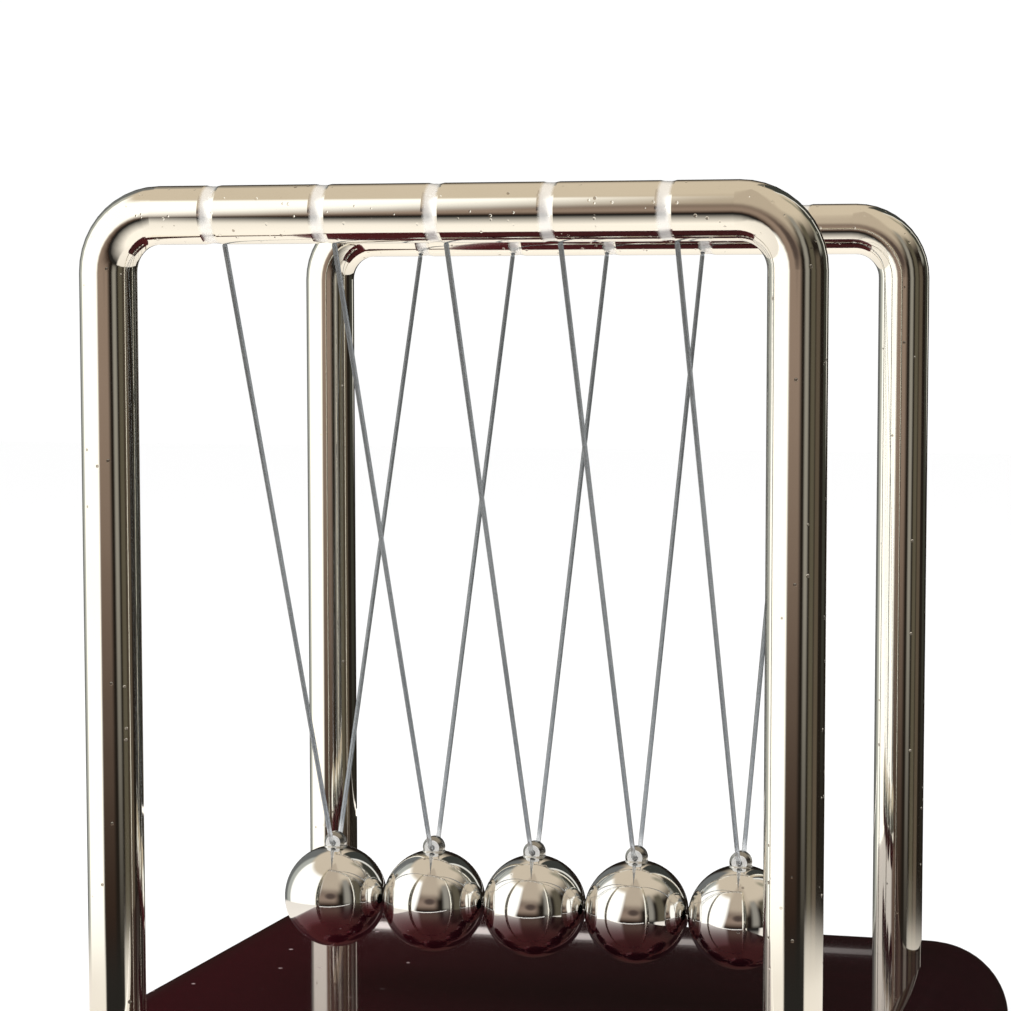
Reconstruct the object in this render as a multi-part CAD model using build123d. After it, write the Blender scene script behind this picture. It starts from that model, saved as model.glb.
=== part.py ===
from build123d import *
import math
import os

# Newton's cradle: a soft-edged square base, two bent tube frames, and five steel balls
# that each hang on a V of nylon line from both frames' top bars.
# Millimetres. X runs along the row of balls, -Y is the front, +Z is up.
# The origin is the centre of the base, on the table under the rubber feet.

# ---- base ---------------------------------------------------------------------------
base_size = 186.0         # side of the square base
base_thick = 22.0
base_corner = 20.0        # upright corners, seen from above
base_round = 17.0         # quarter round that rolls the top over into the sides
base_lower_edge = 1.2     # small round along the lower edge

# ---- rubber feet --------------------------------------------------------------------
foot_dia = 16.0
foot_thick = 4.0
foot_sunk = 1.5           # how far each foot is let into the base
foot_inset = 15.0         # from the base's sides to a foot's centre
foot_taper = 0.8          # the tread is this much smaller in radius than the top

# ---- tube frames --------------------------------------------------------------------
tube_dia = 11.3
tube_wall = 1.2
frame_width = 136.7       # between the centre lines of one frame's two posts
frame_spacing = 129.2     # between the front and the rear frame
bar_height = 164.8        # centre line of a top bar above the base's top
bend_radius = 11.0        # of the tube's centre line
post_depth = 13.0         # how far a post goes into the base
post_fit = 0.05           # clearance round a post in its socket

# ---- fixings in the base ------------------------------------------------------------
insert_length = 12.0      # threaded insert pressed into the end of a post
screw_dia = 5.0
screw_reach = 9.0         # of the screw into the insert
screw_clearance = 0.3     # round the shank, in the base
head_dia = 9.0
head_height = 3.0
head_edge = 0.6           # rounding of a screw's head
drive_size = 4.0          # hexagon socket across its flats
drive_depth = 1.6
washer_dia = 11.0
washer_thick = 1.0
counterbore_clearance = 0.5
counterbore_depth = 5.0

# ---- balls and eyelets --------------------------------------------------------------
ball_count = 5
ball_dia = 22.2
ball_gap = 0.3            # the air between two resting balls
ball_clear = 8.2          # under a ball, to the base's top
eyelet_dia = 4.6          # of the barrel at its middle
eyelet_face = 3.2         # of its flat ends
eyelet_length = 3.4
eyelet_belt = 1.6         # length of the middle, before the barrel tapers
eyelet_rise = 0.75        # from the ball's crown to the barrel's axis
eyelet_bore = 1.3
stem_dia = 2.4
stem_reach = 4.0          # of the stem into the ball

# ---- nylon line ---------------------------------------------------------------------
line_dia = 1.0
line_bend = 1.2           # radius of the line where it turns into an eyelet
groove_depth = 0.22       # of the ring rolled into the bar beside every line hole
groove_width = 3.2
groove_beside = 0.9       # from a line hole to the middle of its ring
knot_dia = 2.2            # the knot sits inside the bar, against the hole
line_tail = 0.3           # how far the knotted end stands out of the bar
line_play = 0.1           # between that end and the rounded top of the swinging line

# ---- overshoot of cutting tools -----------------------------------------------------
cut_over = 1.0

# ---- worked out from the sizes above ------------------------------------------------
tube_r = tube_dia / 2
base_bottom = foot_thick - foot_sunk
base_top = base_bottom + base_thick
bar_z = base_top + bar_height
socket_floor = base_top - post_depth
counterbore_top = base_bottom + counterbore_depth
ball_pitch = ball_dia + ball_gap
ball_z = base_top + ball_clear + ball_dia / 2
crown_z = ball_z + ball_dia / 2
eyelet_z = crown_z + eyelet_rise
post_x = frame_width / 2
bar_y = frame_spacing / 2

# The line leaves each bar straight away from the bar's axis. Its lower corner stands
# clear of the eyelet's mouth by the length that the turn takes up.
bore_r = tube_r - tube_wall
knot_r = bore_r - knot_dia / 2
tail_r = tube_r + line_tail
pivot_r = tail_r + line_play + line_dia / 2


def line_geometry():
    """Find the line's lean from the vertical and the place of its lower corner."""
    corner_y = eyelet_length / 2
    lean = 0.0
    for _ in range(20):
        lean = math.atan2(bar_y - corner_y, bar_z - eyelet_z)
        turn = math.pi / 2 - lean
        corner_y = eyelet_length / 2 + line_bend * math.tan(turn / 2)
    return lean, corner_y


lean, corner_y = line_geometry()
pivot_y = bar_y - pivot_r * math.sin(lean)
pivot_z = bar_z - pivot_r * math.cos(lean)


def ball_x(number):
    """Place of ball 1, 2, ... along the row, which is centred on the origin."""
    return (number - (ball_count + 1) / 2) * ball_pitch


def corners(half_x, half_y):
    """The four corners of a centred rectangle, with the words that name them."""
    return [
        ("front_left", -half_x, -half_y),
        ("front_right", half_x, -half_y),
        ("rear_left", -half_x, half_y),
        ("rear_right", half_x, half_y),
    ]


def upright(radius, low, high, x=0.0, y=0.0):
    """A plain upright cylinder between two heights."""
    return Pos(x, y, (low + high) / 2) * Cylinder(radius, high - low)


# ---- base and feet ------------------------------------------------------------------
foot_at = base_size / 2 - foot_inset


def make_base():
    """Solid block with a rolled-over top, four post sockets and the recesses below."""
    plan = RectangleRounded(base_size, base_size, base_corner)
    block = Pos(0, 0, base_bottom) * extrude(plan, base_thick)
    upper = block.faces().sort_by(Axis.Z)[-1].edges()
    block = fillet(upper, base_round)
    lower = block.faces().sort_by(Axis.Z)[0].edges()
    block = fillet(lower, base_lower_edge)
    shank_hole = screw_dia / 2 + screw_clearance
    counterbore = washer_dia / 2 + counterbore_clearance
    for _, x, y in corners(post_x, bar_y):
        block -= upright(tube_r + post_fit, socket_floor, base_top + cut_over, x, y)
        block -= upright(shank_hole, base_bottom - cut_over, socket_floor + cut_over, x, y)
        block -= upright(counterbore, base_bottom - cut_over, counterbore_top, x, y)
    for _, x, y in corners(foot_at, foot_at):
        block -= upright(foot_dia / 2, base_bottom - cut_over, foot_thick, x, y)
    return block


def make_foot(x, y):
    """Rubber disc, glued in its recess, a little smaller where it meets the table."""
    collar = upright(foot_dia / 2, base_bottom, foot_thick)
    tread = Cone(foot_dia / 2 - foot_taper, foot_dia / 2, base_bottom)
    return Pos(x, y, 0) * (collar + Pos(0, 0, base_bottom / 2) * tread)


# ---- frames -------------------------------------------------------------------------
def frame_path():
    """Centre line of one bent tube, in the XZ plane: post, bend, bar, bend, post."""
    points = [
        (-post_x, 0, socket_floor),
        (-post_x, 0, bar_z),
        (post_x, 0, bar_z),
        (post_x, 0, socket_floor),
    ]
    return FilletPolyline(*points, radius=bend_radius)


def ring_groove(x):
    """Shallow round-bottomed ring, rolled into the top bar beside a line hole."""
    roller = (groove_width**2 / 4 + groove_depth**2) / (2 * groove_depth)
    ring = Torus(tube_r - groove_depth + roller, roller)
    return Pos(x, 0, bar_z) * Rot(0, 90, 0) * ring


def leaning(x, y, piece):
    """Turn a piece made below the origin so that it leans inward like the line."""
    turn = -math.copysign(math.degrees(lean), y)
    return Pos(x, y, bar_z) * Rot(turn, 0, 0) * piece


def below(radius, near, far):
    """Cylinder straight down from the origin, between two distances from it."""
    return Pos(0, 0, -(near + far) / 2) * Cylinder(radius, far - near)


def make_frame(y):
    """One bent tube, hollow from end to end, with a line hole over every ball.

    The rear frame is the front frame turned half round.
    """
    path = frame_path()
    start = Plane(origin=path @ 0, z_dir=path % 0)
    section = Circle(tube_r) - Circle(bore_r)
    tube = Pos(0, -bar_y, 0) * sweep(start * section, path)
    drill = below(line_dia / 2, knot_r, tube_r + cut_over)
    for number in range(1, ball_count + 1):
        x = ball_x(number)
        tube -= Pos(0, -bar_y, 0) * ring_groove(x - groove_beside)
        tube -= leaning(x, -bar_y, drill)
    return tube if y < 0 else Rot(0, 0, 180) * tube


def make_insert(x, y):
    """Round threaded insert in the lower end of a post."""
    top = socket_floor + insert_length
    body = upright(bore_r, socket_floor, top, x, y)
    return body - upright(screw_dia / 2, socket_floor - cut_over, top + cut_over, x, y)


# ---- fixings ------------------------------------------------------------------------
washer_low = counterbore_top - washer_thick


def make_washer(x, y):
    """Flat washer against the roof of a counterbore."""
    ring = upright(washer_dia / 2, washer_low, counterbore_top, x, y)
    hole_r = screw_dia / 2 + screw_clearance
    return ring - upright(hole_r, washer_low - cut_over, counterbore_top + cut_over, x, y)


def make_screw(x, y):
    """Cap screw that pulls a post down into its socket, with a hexagon drive below."""
    head_low = washer_low - head_height
    head = upright(head_dia / 2, head_low, washer_low)
    head = fillet(head.edges().sort_by(Axis.Z)[0], head_edge)
    shank = upright(screw_dia / 2, washer_low, socket_floor + screw_reach)
    across_corners = drive_size / math.cos(math.pi / 6) / 2
    drive = extrude(RegularPolygon(across_corners, 6), drive_depth)
    return Pos(x, y, 0) * (head + shank - Pos(0, 0, head_low) * drive)


# ---- balls, eyelets and line --------------------------------------------------------
def eyelet_body(x):
    """Tapered barrel, lying front to back, on a pin that reaches down into the ball."""
    taper = (eyelet_length - eyelet_belt) / 2
    barrel = Cylinder(eyelet_dia / 2, eyelet_belt)
    for turn in (0, 180):
        end = Cone(eyelet_dia / 2, eyelet_face / 2, taper)
        barrel += Rot(turn, 0, 0) * Pos(0, 0, (eyelet_belt + taper) / 2) * end
    pin = upright(stem_dia / 2, crown_z - stem_reach, eyelet_z, x)
    return Pos(x, 0, eyelet_z) * Rot(90, 0, 0) * barrel + pin


def make_eyelet(x):
    """The barrel, bored through for the line."""
    bore = Cylinder(eyelet_bore / 2, eyelet_length + 2 * cut_over)
    return eyelet_body(x) - Pos(x, 0, eyelet_z) * Rot(90, 0, 0) * bore


def make_ball(x):
    """Steel ball with a seat in its crown that the eyelet is brazed into."""
    return Pos(x, 0, ball_z) * Sphere(ball_dia / 2) - eyelet_body(x)


def make_line(x):
    """The hanging V: down from the front bar, through the eyelet, up to the rear bar."""
    path = FilletPolyline(
        (x, -pivot_y, pivot_z),
        (x, -corner_y, eyelet_z),
        (x, corner_y, eyelet_z),
        (x, pivot_y, pivot_z),
        radius=line_bend,
    )
    start = Plane(origin=path @ 0, z_dir=path % 0)
    line = sweep(start * Circle(line_dia / 2), path)
    for y in (-pivot_y, pivot_y):
        line += Pos(x, y, pivot_z) * Sphere(line_dia / 2)
    return line


def make_line_end(x, y):
    """The line's fixed end: a knot inside the bar, and the tail that fills its hole."""
    tail = below(line_dia / 2, knot_r, tail_r)
    return leaning(x, y, tail + Pos(0, 0, -knot_r) * Sphere(knot_dia / 2))


# ---- every node ---------------------------------------------------------------------
def all_nodes():
    """Name every piece of the cradle and make it in its place."""
    nodes = {"base_plinth": make_base()}
    for name, y in (("front", -bar_y), ("rear", bar_y)):
        nodes[f"{name}_frame"] = make_frame(y)
        for number in range(1, ball_count + 1):
            nodes[f"{name}_line_knot_{number}"] = make_line_end(ball_x(number), y)
    for name, x, y in corners(post_x, bar_y):
        nodes[f"{name}_post_insert"] = make_insert(x, y)
    for name, x, y in corners(foot_at, foot_at):
        nodes[f"{name}_rubber_foot"] = make_foot(x, y)
    posts = corners(post_x, bar_y)
    nodes["post_screws"] = Compound([make_screw(x, y) for _, x, y in posts])
    nodes["post_washers"] = Compound([make_washer(x, y) for _, x, y in posts])
    for number in range(1, ball_count + 1):
        x = ball_x(number)
        nodes[f"ball_{number}"] = make_ball(x)
        nodes[f"eyelet_{number}"] = make_eyelet(x)
        nodes[f"hanging_line_{number}"] = make_line(x)
    return nodes


os.makedirs("parts", exist_ok=True)
for node, shape in all_nodes().items():
    export_step(shape, f"parts/{node}.step")

print(f"lean {math.degrees(lean):.2f} deg, pivot y {pivot_y:.3f} z {pivot_z:.3f}")
print(f"ball pitch {ball_pitch:.3f}, ball z {ball_z:.3f}, swing radius {pivot_z - ball_z:.3f}")
print(f"overall height {bar_z + tube_r:.2f}, base top {base_top:.2f}, bar z {bar_z:.2f}")
leg = math.hypot(pivot_y - corner_y, pivot_z - eyelet_z)
print(f"line legs {leg:.2f} each, corner y {corner_y:.3f}, eyelet z {eyelet_z:.3f}")
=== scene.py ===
# %% [markdown]
# # A five-ball Newton's cradle
# The real one is a glossy dark wooden base, two bent chrome tubes, and five mirror-steel balls that
# each hang on a V of nylon line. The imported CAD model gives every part's true place. This script
# gives each part its finish, adds the small beads that the CAD leaves out, and lights the whole on a
# pale table. Units are metres; -Y is the front, +X the right, +Z up.

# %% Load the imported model
import math

import bpy
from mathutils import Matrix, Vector


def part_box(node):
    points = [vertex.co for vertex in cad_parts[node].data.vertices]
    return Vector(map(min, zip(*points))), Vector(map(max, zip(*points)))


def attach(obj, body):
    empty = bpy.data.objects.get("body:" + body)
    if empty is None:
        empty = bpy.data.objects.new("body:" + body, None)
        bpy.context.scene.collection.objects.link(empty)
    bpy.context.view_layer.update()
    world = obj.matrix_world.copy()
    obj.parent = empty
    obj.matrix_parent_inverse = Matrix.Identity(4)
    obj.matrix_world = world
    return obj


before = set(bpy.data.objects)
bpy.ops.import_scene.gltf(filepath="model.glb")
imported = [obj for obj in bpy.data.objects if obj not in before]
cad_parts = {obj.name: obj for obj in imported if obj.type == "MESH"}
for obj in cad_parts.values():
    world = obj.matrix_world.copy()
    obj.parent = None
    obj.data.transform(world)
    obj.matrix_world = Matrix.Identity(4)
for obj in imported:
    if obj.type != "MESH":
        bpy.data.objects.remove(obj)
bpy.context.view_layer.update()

# %% [markdown]
# ## Measures
# The finishes and the beads need a few sizes: the height of the base's top, the line of the bars, the
# pitch of the balls and the length of an eyelet. They could be typed in, but read from each part's
# box they stay true if the CAD changes.

# %% Measure the parts that everything else is placed by
MM = 0.001
NUMBERS = range(1, 6)
RING_BESIDE = 0.9 * MM                   # from a line hole to the middle of its rolled ring
RING_HALF = 1.6 * MM                     # half of a ring's width

frame_low, frame_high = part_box("front_frame")
base_low, base_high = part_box("base_plinth")
eyelet_low, eyelet_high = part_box("eyelet_3")
bar_y = -(frame_low.y + frame_high.y) / 2
tube_radius = (frame_high.y - frame_low.y) / 2
bar_z = frame_high.z - tube_radius
base_top = base_high.z
pitch = (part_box("ball_2")[0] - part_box("ball_1")[0]).x
eyelet_half = (eyelet_high.y - eyelet_low.y) / 2
print(f"bars at y = +-{bar_y:.4f}, z = {bar_z:.4f}; base top at z = {base_top:.4f}")
print(f"balls every {pitch:.4f}; an eyelet is {2 * eyelet_half:.4f} long")

# %% [markdown]
# ## The camera
# The cradle is seen from a little to the right of the front, with the eye just below the top bars.
# The lens is long, so the posts stay nearly upright. A pinhole is enough: a place, a heading, a
# tilt, a lens, and a small shift that sets the cradle in the frame.

# %% Camera
camera_place = Vector((0.16958, -0.60524, 0.17064))
heading = math.radians(15.380)          # turned to the left of straight ahead
tilt = math.radians(-5.199)
SENSOR = 36.0

camera_data = bpy.data.cameras.new("picture_camera")
camera_data.sensor_width = SENSOR
camera_data.lens = 105.91
camera_data.shift_x = -0.0424
camera_data.shift_y = 0.0762
camera_data.clip_start = 0.01
camera_data.clip_end = 20.0
camera = bpy.data.objects.new("picture_camera", camera_data)
camera.location = camera_place
camera.rotation_euler = (math.pi / 2 + tilt, 0.0, heading)
bpy.context.collection.objects.link(camera)
bpy.context.scene.camera = camera
print("camera", tuple(round(c, 3) for c in camera_place), "lens", camera_data.lens)

# %% [markdown]
# ## A bench for node trees
# A tree can be wired socket by socket, but shader maths reads best as plain expressions. `Value`
# wraps one socket, and its operators add Math nodes. `Bench.add` makes any other node: first its
# settings, then what goes into its sockets. The same bench builds Geometry Nodes later, when it is
# told which family of nodes it works in.

# %% Node trees as expressions
class Value:
    """One number, colour, vector or geometry that flows through a node tree."""

    def __init__(self, bench, node, out=0):
        self.bench = bench
        self.node = node
        self.out = out

    def output(self, out):
        """Another output of the same node."""
        return Value(self.bench, self.node, out)

    def math(self, operation, *others):
        inputs = dict(enumerate((self,) + others))
        return self.bench.add("Math", {"operation": operation}, inputs)

    def __add__(self, other):
        return self.math("ADD", other)

    def __sub__(self, other):
        return self.math("SUBTRACT", other)

    def __mul__(self, other):
        return self.math("MULTIPLY", other)

    def __truediv__(self, other):
        return self.math("DIVIDE", other)

    def __rsub__(self, other):
        return self.bench.add("Math", {"operation": "SUBTRACT"}, {0: other, 1: self})

    __radd__ = __add__
    __rmul__ = __mul__

    def step(self, low, high):
        """0 below low, 1 above high, and a smooth rise between."""
        return self.bench.add("MapRange", {"interpolation_type": "SMOOTHSTEP"},
                              {"Value": self, "From Min": low, "From Max": high})

    def ramp(self, low, high, at_low, at_high):
        """A straight ramp from one value to another."""
        return self.bench.add("MapRange", None, {"Value": self, "From Min": low, "From Max": high,
                                                 "To Min": at_low, "To Max": at_high})

    def band(self, low, high, soft):
        """1 between low and high, with soft edges."""
        return self.step(low - soft, low + soft) * (1 - self.step(high - soft, high + soft))


class Bench:
    """A node tree that is being built."""

    def __init__(self, tree, family="ShaderNode"):
        self.tree = tree
        self.family = family
        tree.nodes.clear()

    def add(self, kind, settings=None, values=None, out=0):
        prefix = "" if kind.startswith("NodeGroup") else self.family
        node = self.tree.nodes.new(prefix + kind)
        for name, value in (settings or {}).items():
            setattr(node, name, value)
        for name, value in (values or {}).items():
            if isinstance(value, Value):
                self.tree.links.new(value.node.outputs[value.out], node.inputs[name])
            else:
                node.inputs[name].default_value = value
        return Value(self, node, out)

    def mix(self, factor, below, above, blend="MIX"):
        """A colour mixed from two colours."""
        return self.add("Mix", {"data_type": "RGBA", "blend_type": blend},
                        {0: factor, 6: below, 7: above}, out=2)

    def axes(self, vector):
        """The three numbers of a vector."""
        split = self.add("SeparateXYZ", None, {0: vector})
        return [split.output(axis) for axis in range(3)]

    def noise(self, scale, detail, where, roughness=0.5):
        return self.add("TexNoise", None, {"Scale": scale, "Detail": detail,
                                           "Roughness": roughness, "Vector": where})


def rgb(red, green, blue):
    return (red, green, blue, 1.0)


print("bench ready")

# %% [markdown]
# ## The studio
# Chrome and polished steel have almost no colour of their own: they show the room. The room could be
# built of cards and lamps. Painted by direction, in degrees round from the front and degrees up, it
# gives the same mirror images, without noise and with one line for each thing. A tall soft window
# stands at the left, the ceiling is a warm pale board, and dark flags stand at the right with a slit
# of light between them. Each is a soft-edged card, laid over what was painted before it.

# %% Directions in the room
world = bpy.data.worlds.new("studio")
bpy.context.scene.world = world
world.use_nodes = True
room = Bench(world.node_tree)

toward_right, toward_back, upward = room.axes(room.add("TexCoord", out=0))
azimuth = room.add("Math", {"operation": "ARCTAN2"}, {0: toward_right, 1: 0 - toward_back})
azimuth = azimuth * math.degrees(1.0)
elevation = upward.math("ARCSINE") * math.degrees(1.0)


def card(below, left, right, low, high, soft, colour):
    """A soft-edged card of light hung in the room, between two azimuths and two elevations."""
    mask = azimuth.band(left, right, soft) * elevation.band(low, high, soft)
    return room.mix(mask, below, rgb(*colour))


print("azimuth and elevation ready")

# %% The ceiling and the wall behind the camera
WINDOW = (1.30, 1.27, 1.19)
CEILING = (0.66, 0.56, 0.43)
DARK = (0.016, 0.012, 0.009)

walls = room.mix(elevation.step(22.0, 52.0), rgb(*DARK), rgb(*CEILING))
walls = card(walls, -20, 30, 18, 95, 10, (0.52, 0.43, 0.33))          # upper wall, lit from above
dusk = elevation.step(-13.0, 1.0)                                     # the wall darkens downward
warm_wall = room.mix(dusk, rgb(0.022, 0.011, 0.007), rgb(0.30, 0.22, 0.17))
walls = room.mix(azimuth.band(-30, 22, 8) * (1 - elevation.step(2, 34)), walls, warm_wall)
shadow = ((azimuth - 7) / 12).math("POWER", 2.0) + ((elevation - 8.5) / 6.5).math("POWER", 2.0)
walls = room.mix(1 - shadow.step(0.1, 1.9), walls, rgb(0.085, 0.060, 0.050))
print("ceiling and front wall painted")

# %% The flags at the right, and the rims at the far left
CARDS = [                                    # left, right, low, high, soft, colour
    (38, 53, -9, 44, 5, (0.30, 0.28, 0.24)),         # grey curtain
    (62, 80, -30, 40, 5, (0.11, 0.095, 0.065)),      # brown side wall
    (84, 104, -30, 14, 5, (0.11, 0.085, 0.06)),
    (118, 134, 24, 62, 6, (0.34, 0.31, 0.23)),       # high board
    (110, 138, 13, 27, 4, (0.30, 0.29, 0.25)),       # low board
    (126, 148, -8, 44, 4, (0.045, 0.045, 0.035)),    # dark flag
    (148, 200, 18, 60, 4, (0.045, 0.048, 0.042)),    # dark flag behind
    (148, 154, -2, 62, 1.5, (0.85, 0.83, 0.76)),     # slit of light between the flags
    (-150, -122, -30, 46, 5, (0.16, 0.165, 0.16)),   # dark rim beyond the window
    (-124, -100, -30, 46, 5, (0.45, 0.46, 0.42)),    # grey rim beside the window
]
for sizes in CARDS:
    walls = card(walls, *sizes)
print(len(CARDS), "cards hung")

# %% [markdown]
# ### The window
# The window is what makes the long white lines on the tubes and the white left side of every ball.
# Its inner edge bows, and reaches furthest at 26 degrees up, so the edge is a parabola of elevation.

# %% The window
window_edge = -18.5 - (elevation - 26).math("POWER", 2.0) * 0.006
window = azimuth.step(-110, -101) * (1 - (azimuth - window_edge).step(-5.0, 5.0))
walls = room.mix(window * elevation.band(-30, 50, 5), walls, rgb(*WINDOW))
print("window hung")

# %% [markdown]
# ### The table
# Below the horizon mirrors see the table: bright cloth at both sides, and in front the shadow of
# whoever stands there, which fades as the table comes closer. This gives the pale lower half of the
# bars. Only mirrors see the room, and the half-clear lines that are looked through. Seen directly,
# and as the light that falls on dull things, the background is plain white.

# %% The table, and what is seen directly
HORIZON = (-12.9, -11.3)
table_front = elevation.ramp(-16.0, -50.0, 0.02, 1.12)
table_sides = elevation.ramp(-12.0, -62.0, 0.92, 1.10)
ahead = azimuth.band(-24, 54, 4)
table_light = ahead * table_front + (1 - ahead) * table_sides
table_colour = room.mix(1.0, rgb(1.0, 0.93, 0.84), table_light, "MULTIPLY")
walls = room.mix(1 - elevation.step(*HORIZON), walls, table_colour)

in_mirror = room.add("LightPath", out="Is Glossy Ray")
not_behind = 1 - azimuth.math("ABSOLUTE").step(128.0, 150.0)
through_line = in_mirror.output("Is Transmission Ray") * not_behind
sees_room = (in_mirror + through_line).math("MINIMUM", 1.0)
plain = room.mix(sees_room, rgb(1.02, 1.02, 1.02), walls)
backdrop = room.add("Background", None, {"Color": plain, "Strength": 1.0})
room.add("OutputWorld", None, {"Surface": backdrop})
print("room painted with", len(room.tree.nodes), "nodes")

# %% [markdown]
# ## The floor
# The toy stands on pale paper that runs out of sight. One large square is enough. Mirrors see the
# painted table instead, so the floor is hidden from them.

# %% The pale floor
REACH = 3.0
floor_mesh = bpy.data.meshes.new("floor")
corners = [(-REACH, -REACH, 0), (REACH, -REACH, 0), (REACH, REACH, 0), (-REACH, REACH, 0)]
floor_mesh.from_pydata(corners, [], [(0, 1, 2, 3)])
floor = bpy.data.objects.new("floor", floor_mesh)
bpy.context.collection.objects.link(floor)
floor.visible_glossy = False

paint = bpy.data.materials.new("pale_floor")
paint.use_nodes = True
floor_bench = Bench(paint.node_tree)
shade = floor_bench.add("BsdfDiffuse", None, {"Color": rgb(0.97, 0.97, 0.97)})
floor_bench.add("OutputMaterial", None, {"Surface": shade})
floor_mesh.materials.append(paint)
print("floor is", 2 * REACH, "m wide")

# %% [markdown]
# ## Two paper strips
# Two narrow bright strips stand near the base, and only mirrors see them. One stands before the
# front edge, and draws the thin line low in every ball. The other stands behind, and its image in the
# lacquer is the light band between the rear posts. They are too near to be painted by direction, so
# they are real pieces of the stage.

# %% The paper strips
HIDDEN_FROM = ("camera", "diffuse", "shadow", "transmission", "volume_scatter")


def paper_strip(name, outline, left_light, right_light):
    """A glowing strip between four corners, that fades from its left end to its right."""
    mesh = bpy.data.meshes.new(name)
    mesh.from_pydata(outline, [], [(0, 1, 2, 3)])
    paper = bpy.data.materials.new(name)
    paper.use_nodes = True
    bench = Bench(paper.node_tree)
    along = bench.axes(bench.add("TexCoord", out=3))[0].step(outline[0][0], outline[1][0])
    power = left_light + along * (right_light - left_light)
    glow = bench.add("Emission", None, {"Color": rgb(1.0, 0.95, 0.90), "Strength": power})
    bench.add("OutputMaterial", None, {"Surface": glow})
    mesh.materials.append(paper)
    strip = bpy.data.objects.new(name, mesh)
    bpy.context.collection.objects.link(strip)
    for ray in HIDDEN_FROM:
        setattr(strip, "visible_" + ray, False)


front_y = base_low.y - 0.012
rear_y = bar_y + 0.065
paper_strip("front_paper", [(-0.08, front_y, 0.0170), (0.08, front_y, 0.0170),
                            (0.08, front_y, 0.0192), (-0.08, front_y, 0.0192)], 1.3, 1.3)
paper_strip("rear_paper", [(-0.10, rear_y, 0.0388), (0.060, rear_y, 0.0388),
                           (0.060, rear_y, 0.0401), (-0.10, rear_y, 0.0408)], 2.2, 0.35)
print("two paper strips at y =", round(front_y, 3), "and", round(rear_y, 3))

# %% [markdown]
# ## The key light
# The room already lights everything from all round. One large weak lamp at the upper left adds a
# direction, so that the wood and the floor get a soft shadow. Its own image would be a hard square
# in the balls, so mirrors don't see it.

# %% The key light
KEY_SIDE = 0.9
KEY_AIM = Vector((0, 0, 0.1))

lamp_data = bpy.data.lights.new("soft_key", "AREA")
lamp_data.shape = "RECTANGLE"
lamp_data.size = KEY_SIDE
lamp_data.size_y = KEY_SIDE
lamp_data.energy = 4.0
lamp = bpy.data.objects.new("soft_key", lamp_data)
lamp.location = (-0.7, -0.5, 0.9)
lamp.rotation_euler = (KEY_AIM - lamp.location).to_track_quat("-Z", "Y").to_euler()
lamp.visible_glossy = False
bpy.context.collection.objects.link(lamp)
bpy.context.scene.view_settings.view_transform = "Standard"
print("key light of", lamp_data.energy, "W")

# %% [markdown]
# ## The finishes
# Each finish is one Principled shader. What varies over the surface is only its colour, metal,
# roughness, coat and bump. Three helpers serve them all: the material itself, small round specks for
# pits and dust, and the bump.

# %% Helpers for finishes
def finish(name, values, look):
    """A material: constant values, and varying sockets that come from look(bench, place)."""
    material = bpy.data.materials.new(name)
    material.use_nodes = True
    bench = Bench(material.node_tree)
    place = bench.add("TexCoord", out=3)
    shader = bench.add("BsdfPrincipled", None, {**values, **look(bench, place)})
    bench.add("OutputMaterial", None, {"Surface": shader})
    print("finish", name, "with", len(bench.tree.nodes), "nodes")
    return material


def specks(bench, place, per_metre, size, share, seed=0.0):
    """Small round spots: 1 inside a speck, 0 outside. Only a share of the cells holds one."""
    moved = bench.add("VectorMath", {"operation": "ADD"}, {0: place, 1: (seed, seed, seed)})
    cells = bench.add("TexVoronoi", None, {"Vector": moved, "Scale": per_metre})
    chosen = bench.axes(cells.output("Color"))[0]
    return (1 - cells.step(size * 0.6, size)) * (1 - chosen.step(share, share + 0.02))


def bump(bench, height):
    """A bump from a height in metres."""
    return bench.add("Bump", None, {"Height": height, "Distance": 1.0, "Strength": 1.0})


print("finish, specks and bump ready")

# %% [markdown]
# ## Chrome of the tubes
# The tubes are bright chrome with a warm cast. Plating is never quite flat: it has long faint waves,
# a light haze from handling, and a few pits. The rings that are rolled into the top bars are painted
# near white, with less metal and more roughness, so they read as pale bands: a painted highlight.
# The CAD has them as grooves in the tube, and a mask by place finds them: how far a point is from
# the nearest ring, on the bars only.

# %% Where the rolled rings are
def in_rings(bench, place):
    """1 inside the ten rolled rings of the top bars, 0 elsewhere."""
    x, y, z = bench.axes(place)
    along = x - y.math("SIGN") * RING_BESIDE
    steps = (along / pitch).math("ROUND").math("MINIMUM", 2.0).math("MAXIMUM", -2.0)
    away = (along - steps * pitch).math("ABSOLUTE")
    near = 1 - away.step(RING_HALF * 0.45, RING_HALF)
    return near * z.step(bar_z - tube_radius, bar_z - 0.9 * tube_radius)


def on_bars(bench, place):
    """1 along the top bars, 0 down the posts."""
    z = bench.axes(place)[2]
    return z.step(bar_z - 1.2 * tube_radius, bar_z - tube_radius)


print(f"rings are {2 * RING_HALF / MM:.1f} mm wide, {RING_BESIDE / MM:.1f} mm beside the holes")

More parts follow.
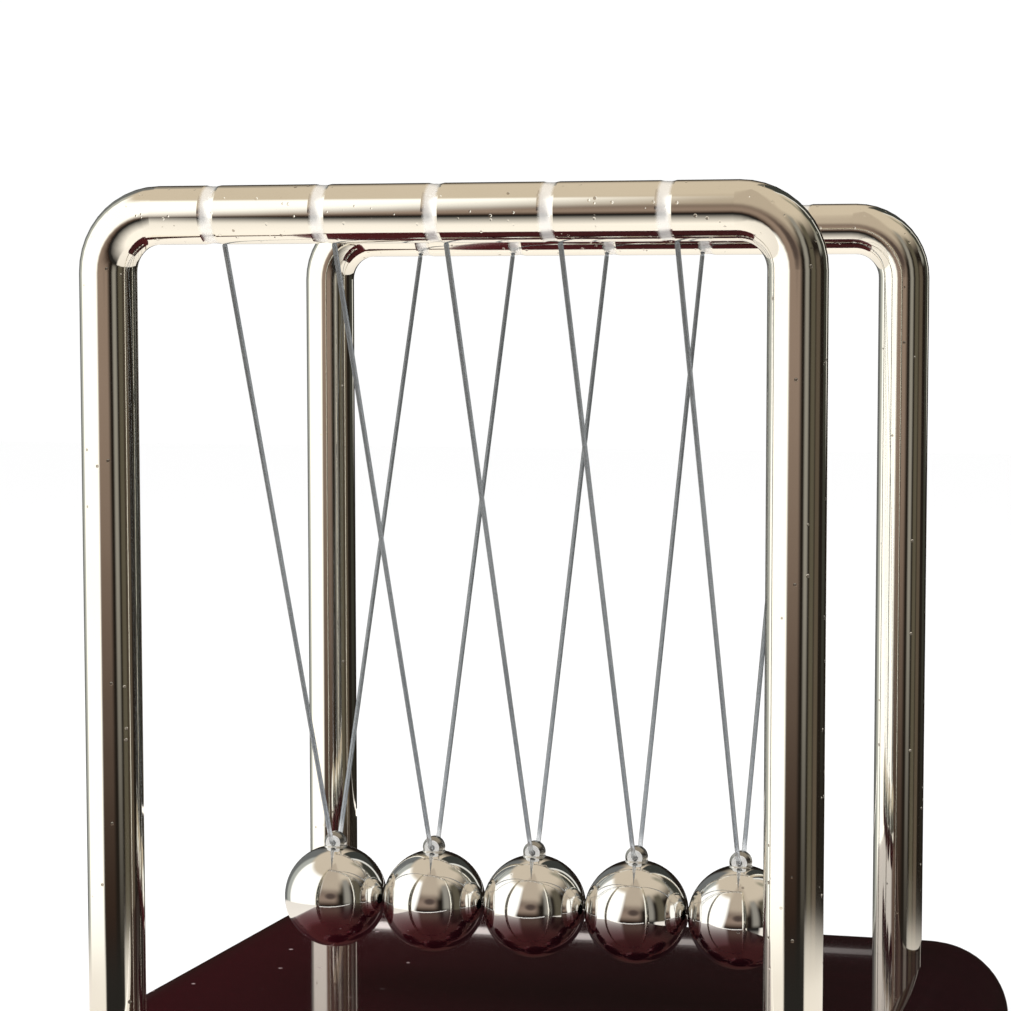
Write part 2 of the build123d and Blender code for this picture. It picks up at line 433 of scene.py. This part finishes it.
# %% Chrome
def chrome_look(bench, place):
    haze = bench.noise(60.0, 3.0, place)
    pits = specks(bench, place, 420.0, 0.16, 0.16)
    flecks = specks(bench, place, 900.0, 0.30, 0.10, 5.1) * on_bars(bench, place)
    waves = bench.noise(28.0, 2.0, place)
    rings = in_rings(bench, place)
    colour = bench.mix(haze, rgb(0.90, 0.88, 0.80), rgb(0.96, 0.94, 0.88))
    colour = bench.mix(pits * 0.7, colour, rgb(0.30, 0.24, 0.18))
    # painted highlight: the rolled rings are painted near white, with less metal and more roughness
    # below
    colour = bench.mix(rings, colour, rgb(1.0, 0.99, 0.96))
    return {"Base Color": colour,
            "Metallic": 1 - rings * 0.42,
            "Roughness": 0.035 + haze * 0.05 + pits * 0.25 + rings * 0.20,
            "Normal": bump(bench, waves * 0.00006 - pits * 0.00003 - flecks * 0.00003)}


chrome = finish("warm_chrome", {}, chrome_look)

# %% [markdown]
# ## Steel of the balls
# A bearing ball is ground and lapped, so it is the truest mirror of the whole toy. Only a very fine
# haze and a few small pits break it. Colour comes almost wholly from the room.

# %% Polished steel
def steel_look(bench, place):
    haze = bench.noise(140.0, 4.0, place)
    pits = specks(bench, place, 300.0, 0.12, 0.12, 3.7)
    colour = bench.mix(haze, rgb(0.85, 0.85, 0.835), rgb(0.92, 0.92, 0.91))
    colour = bench.mix(pits * 0.6, colour, rgb(0.25, 0.21, 0.18))
    return {"Base Color": colour,
            "Roughness": 0.03 + haze * 0.05 + pits * 0.2,
            "Normal": bump(bench, haze * 0.000004 - pits * 0.00002)}


ball_steel = finish("mirror_steel", {"Metallic": 1.0}, steel_look)

# %% [markdown]
# ## Lacquer of the base
# The base is stained almost black, and the red of the wood shows where light falls through the
# varnish. One dark glossy layer would look like plastic. Two layers keep the red: a dark grain with
# a red-tinted shine, and a thin clear coat above it.
# Grain is noise that is stretched along the board. The base is painted redder toward the left edge,
# painted light where the light from the left falls on it. Dust has also settled near the left edge.

# %% Lacquer
def lacquer_look(bench, place):
    stretched = bench.add("VectorMath", {"operation": "MULTIPLY"}, {0: place, 1: (6.0, 60.0, 60.0)})
    grain = bench.noise(3.0, 6.0, stretched, 0.6)
    fine = bench.noise(14.0, 4.0, stretched, 0.6)
    colour = bench.mix(grain, rgb(0.0090, 0.0024, 0.0040), rgb(0.0230, 0.0040, 0.0065))
    colour = bench.mix(fine * 0.35, colour, rgb(0.006, 0.0022, 0.0036))
    across = bench.axes(place)[0]
    # painted light: redder toward the left edge, where the light from the left falls
    colour = bench.mix(1 - across.step(-0.10, 0.02), colour, rgb(0.042, 0.0045, 0.0080))
    dusty = 1 - across.step(-0.075, -0.02)
    dust = specks(bench, place, 110.0, 0.055, 0.10, 1.3)
    dust = dust.math("MAXIMUM", specks(bench, place, 240.0, 0.17, 0.16, 4.4) * dusty)
    colour = bench.mix(dust, colour, rgb(0.50, 0.40, 0.40))
    return {"Base Color": colour,
            "Roughness": 0.05 + fine * 0.03 + dust * 0.5,
            "Coat Weight": 0.45 - dust * 0.40,
            "Normal": bump(bench, grain * 0.00001)}


LACQUER = {"Metallic": 0.0, "Coat Roughness": 0.015, "Coat IOR": 1.42,
           "Specular Tint": rgb(1.0, 0.12, 0.18)}
lacquer = finish("mahogany_lacquer", LACQUER, lacquer_look)

# %% [markdown]
# ## Nylon of the lines
# The lines are smoky, half-clear nylon: a dark edge, and a light middle where the room shines
# through. Near the balls they are paler, because the bright steel lights them from below, and the
# turn into an eyelet is palest of all. Height above the base's top is enough to tell these apart.

# %% Nylon
PALE_FROM, PALE_TO = base_top + 0.030, base_top + 0.070
TURN_FROM, TURN_TO = base_top + 0.033, base_top + 0.036


def nylon_look(bench, place):
    cloud = bench.noise(300.0, 3.0, place)
    height = bench.axes(place)[2]
    colour = bench.mix(cloud, rgb(0.20, 0.215, 0.225), rgb(0.34, 0.36, 0.37))
    pale = 1 - height.step(PALE_FROM, PALE_TO)
    colour = bench.mix(pale * 0.7, colour, rgb(0.44, 0.47, 0.50))
    turn = 1 - height.step(TURN_FROM, TURN_TO)
    colour = bench.mix(turn, colour, rgb(0.80, 0.82, 0.84))
    return {"Base Color": colour, "Roughness": 0.12 + cloud * 0.10}


NYLON = {"Metallic": 0.0, "Transmission Weight": 0.70, "IOR": 1.53}
nylon = finish("smoke_nylon", NYLON, nylon_look)

# %% [markdown]
# ## Nickel of the small fixings
# Screws, washers, inserts and the braze round the eyelets are turned or plated nickel. A wave in
# rings gives the fine marks of the lathe, and noise gives the haze over them.

# %% Nickel
def nickel_look(bench, place):
    turned = bench.add("TexWave", {"wave_type": "RINGS", "rings_direction": "Y"},
                       {"Vector": place, "Scale": 900.0, "Distortion": 0.6})
    haze = bench.noise(200.0, 4.0, place)
    colour = bench.mix(haze, rgb(0.80, 0.80, 0.78), rgb(0.93, 0.93, 0.91))
    return {"Base Color": colour,
            "Roughness": 0.24 + haze * 0.14,
            "Normal": bump(bench, turned * 0.000006 + haze * 0.00001)}


nickel = finish("turned_nickel", {"Metallic": 1.0}, nickel_look)

# %% [markdown]
# ## The eyelets
# An eyelet is a short barrel. Its middle is painted bright, a painted highlight, the bevels beside it
# are painted darker, a painted shade, and its two flat ends are painted near white. How far a point
# is from the middle, front to back, tells the three apart.

# %% Eyelets, with a painted highlight and painted shade
def eyelet_look(bench, place):
    from_middle = bench.axes(place)[1].math("ABSOLUTE")
    end = from_middle.step(eyelet_half * 0.93, eyelet_half * 0.985)
    belt = 1 - from_middle.step(eyelet_half * 0.30, eyelet_half * 0.55)
    haze = bench.noise(260.0, 4.0, place)
    # painted light: the dark grey toward the ends is painted shade on the bevels, the bright middle
    # is a painted highlight, and the flat ends are painted near white
    colour = bench.mix(haze, rgb(0.30, 0.30, 0.29), rgb(0.46, 0.46, 0.44))
    colour = bench.mix(belt, colour, rgb(0.74, 0.74, 0.72))
    colour = bench.mix(end, colour, rgb(0.97, 0.97, 0.95))
    return {"Base Color": colour,
            "Metallic": 1 - end * 0.75,
            "Roughness": 0.20 + haze * 0.10 + end * 0.15,
            "Normal": bump(bench, haze * 0.00001)}


eyelet_highlight_paint = finish("eyelet_painted_highlight", {}, eyelet_look)

# %% [markdown]
# ## Rubber of the feet
# The feet are plain black rubber: rough, with a fine moulded grain and a little wear.

# %% Rubber
def rubber_look(bench, place):
    grain = bench.noise(2200.0, 3.0, place)
    wear = bench.noise(90.0, 3.0, place)
    colour = bench.mix(wear, rgb(0.010, 0.010, 0.010), rgb(0.030, 0.029, 0.028))
    return {"Base Color": colour,
            "Roughness": 0.62 + wear * 0.2,
            "Normal": bump(bench, grain * 0.00006)}


rubber = finish("black_rubber", {"Metallic": 0.0}, rubber_look)

# %% [markdown]
# ## Dress the CAD parts
# Every CAD part already has its true shape, so it stays as it is, and only the material in its slot
# changes. The slot's own name says which finish it wants.

# %% Give each CAD part its finish
FINISHES = {"base_lacquer": lacquer, "frame_chrome": chrome, "ball_steel": ball_steel,
            "eyelet_metal": eyelet_highlight_paint, "line_nylon": nylon, "insert_steel": nickel,
            "screw_steel": nickel, "washer_steel": nickel, "foot_rubber": rubber}
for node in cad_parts.values():
    for slot in node.material_slots:
        slot.material = FINISHES[slot.material.name.split(".")[0]]
print("finishes given to", len(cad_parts), "parts")

# %% [markdown]
# ## Beads that follow a path
# Two small things repeat on the real cradle. A bead of braze runs round the seam between every
# eyelet and its ball, and every line hole in the bars has a rolled rim, so that it doesn't cut the
# line. Both are a thin round bead along a closed path. One Geometry Nodes tree makes them: the path
# comes in as a plain edge loop, is resampled, and is given a round section.

# %% The bead tree
SOCKETS = [("Path", "INPUT", "Geometry"), ("Bead radius", "INPUT", "Float"),
           ("Step", "INPUT", "Float"), ("Finish", "INPUT", "Material"),
           ("Bead", "OUTPUT", "Geometry")]
ROUND_SIDES = 12


def bead_tree():
    """Edge loops in, round beads out. Inputs: the bead's radius, its step, and its material."""
    tree = bpy.data.node_groups.new("bead_along_path", "GeometryNodeTree")
    for name, way, kind in SOCKETS:
        tree.interface.new_socket(name, in_out=way, socket_type="NodeSocket" + kind)
    bench = Bench(tree, "GeometryNode")
    given = bench.add("NodeGroupInput", out="Path")
    path = bench.add("MeshToCurve", None, {"Mesh": given})
    path = bench.add("ResampleCurve", {"mode": "LENGTH"},
                     {"Curve": path, "Length": given.output("Step")})
    section = bench.add("CurvePrimitiveCircle", None,
                        {"Resolution": ROUND_SIDES, "Radius": given.output("Bead radius")})
    bead = bench.add("CurveToMesh", None, {"Curve": path, "Profile Curve": section})
    bead = bench.add("SetShadeSmooth", None, {"Geometry": bead})
    bead = bench.add("RealizeInstances", None, {"Geometry": bead})
    bead = bench.add("SetMaterial", None, {"Geometry": bead, "Material": given.output("Finish")})
    bench.add("NodeGroupOutput", None, {"Bead": bead})
    return tree


BEADS = bead_tree()
print("bead tree has", len(BEADS.nodes), "nodes")

# %% Beads as a plain mesh
def closed_path(name, loops):
    """A mesh of edges only: one closed loop for every list of points."""
    points, edges = [], []
    for loop in loops:
        first = len(points)
        points += loop
        edges += [(first + k, first + (k + 1) % len(loop)) for k in range(len(loop))]
    path = bpy.data.meshes.new(name + "_path")
    path.from_pydata(points, edges, [])
    return path


def beads(name, loops, radius, step, material, body):
    """One bead along every closed loop of points, as a plain mesh that rides on a body."""
    piece = bpy.data.objects.new(name, closed_path(name, loops))
    bpy.context.collection.objects.link(piece)
    modifier = piece.modifiers.new("beads", "NODES")
    modifier.node_group = BEADS
    sizes = {"Bead radius": radius, "Step": step, "Finish": material}
    for item in BEADS.interface.items_tree:
        if item.in_out == "INPUT" and item.name in sizes:
            modifier[item.identifier] = sizes[item.name]
    evaluated = piece.evaluated_get(bpy.context.evaluated_depsgraph_get())
    mesh = bpy.data.meshes.new_from_object(evaluated)
    mesh.name = name
    piece.modifiers.clear()
    piece.data = mesh
    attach(piece, body)


print("bead maker ready")

# %% [markdown]
# ### The braze
# An eyelet's barrel lies front to back and sinks a little into the ball. Where a point of the seam
# lies follows from two circles: at a distance y from the middle, the barrel's round section and the
# ball's meet at one height. Walking y along one side and back along the other closes the path.

# %% Braze beads between eyelets and balls
BRAZE_RADIUS, BRAZE_STEP = 0.30 * MM, 0.25 * MM
BELT_SHARE = 0.47                        # of an eyelet's half length, before its end tapers
TAPER = 0.30                             # of its radius, lost at the very end
HALF_STEPS = 6                           # steps from an end to the middle


def seam(number):
    """Closed path where an eyelet's barrel sinks into its ball."""
    ball_low, ball_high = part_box(f"ball_{number}")
    eye_low, eye_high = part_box(f"eyelet_{number}")
    ball_r = (ball_high.x - ball_low.x) / 2
    eye_r = (eye_high.x - eye_low.x) / 2
    middle = (ball_low + ball_high) / 2
    middle.z = ball_low.z + ball_r
    half = (eye_high.y - eye_low.y) / 2
    rise = eye_high.z - eye_r - middle.z
    path = []
    for side in (1, -1):
        for k in range(2 * HALF_STEPS + 1):
            y = side * half * (k / HALF_STEPS - 1)
            taper = max(0.0, abs(y) - BELT_SHARE * half) / ((1 - BELT_SHARE) * half)
            r = eye_r * (1 - TAPER * taper)
            up = (ball_r ** 2 - r ** 2 - y ** 2 + rise ** 2) / (2 * rise)
            across = math.sqrt(max(r ** 2 - (up - rise) ** 2, 0.0))
            path.append((middle.x - side * across, y, middle.z + up))
    return path


for number in NUMBERS:
    beads(f"braze_bead_{number}", [seam(number)], BRAZE_RADIUS, BRAZE_STEP, nickel,
          f"swinging_ball_{number}")
print("five braze beads")

# %% [markdown]
# ### The rims
# A line leaves its bar straight away from the bar's axis, so the middle of its hole lies on that
# line, one tube radius out. A circle round it is dropped onto the round skin of the bar, point by
# point. All ten rims belong to the stand, so they are one piece.

# %% Rolled rims of the line holes
RIM_RADIUS, RIM_STEP, RIM_ROOM = 0.16 * MM, 0.12 * MM, 0.12 * MM
RIM_POINTS = 24


def rim(number, side):
    """Circle round one line hole, on the skin of the bar."""
    low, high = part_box(f"hanging_line_{number}")
    line_r = (high.x - low.x) / 2
    axis = Vector((0, bar_y, bar_z))
    out = (Vector((0, high.y - line_r, high.z - line_r)) - axis).normalized()
    along = Vector((1, 0, 0))
    beside = out.cross(along)
    loop = []
    for k in range(RIM_POINTS):
        turn = math.tau * k / RIM_POINTS
        round_hole = along * math.cos(turn) + beside * math.sin(turn)
        point = axis + out * tube_radius + round_hole * (line_r + RIM_ROOM)
        depth = (point - axis).dot(beside)
        point -= out * (tube_radius - math.sqrt(tube_radius ** 2 - depth ** 2))
        loop.append((point.x + (low.x + high.x) / 2, point.y * side, point.z))
    return loop


rims = [rim(number, side) for number in NUMBERS for side in (-1, 1)]
beads("line_hole_rims", rims, RIM_RADIUS, RIM_STEP, chrome, "stand")
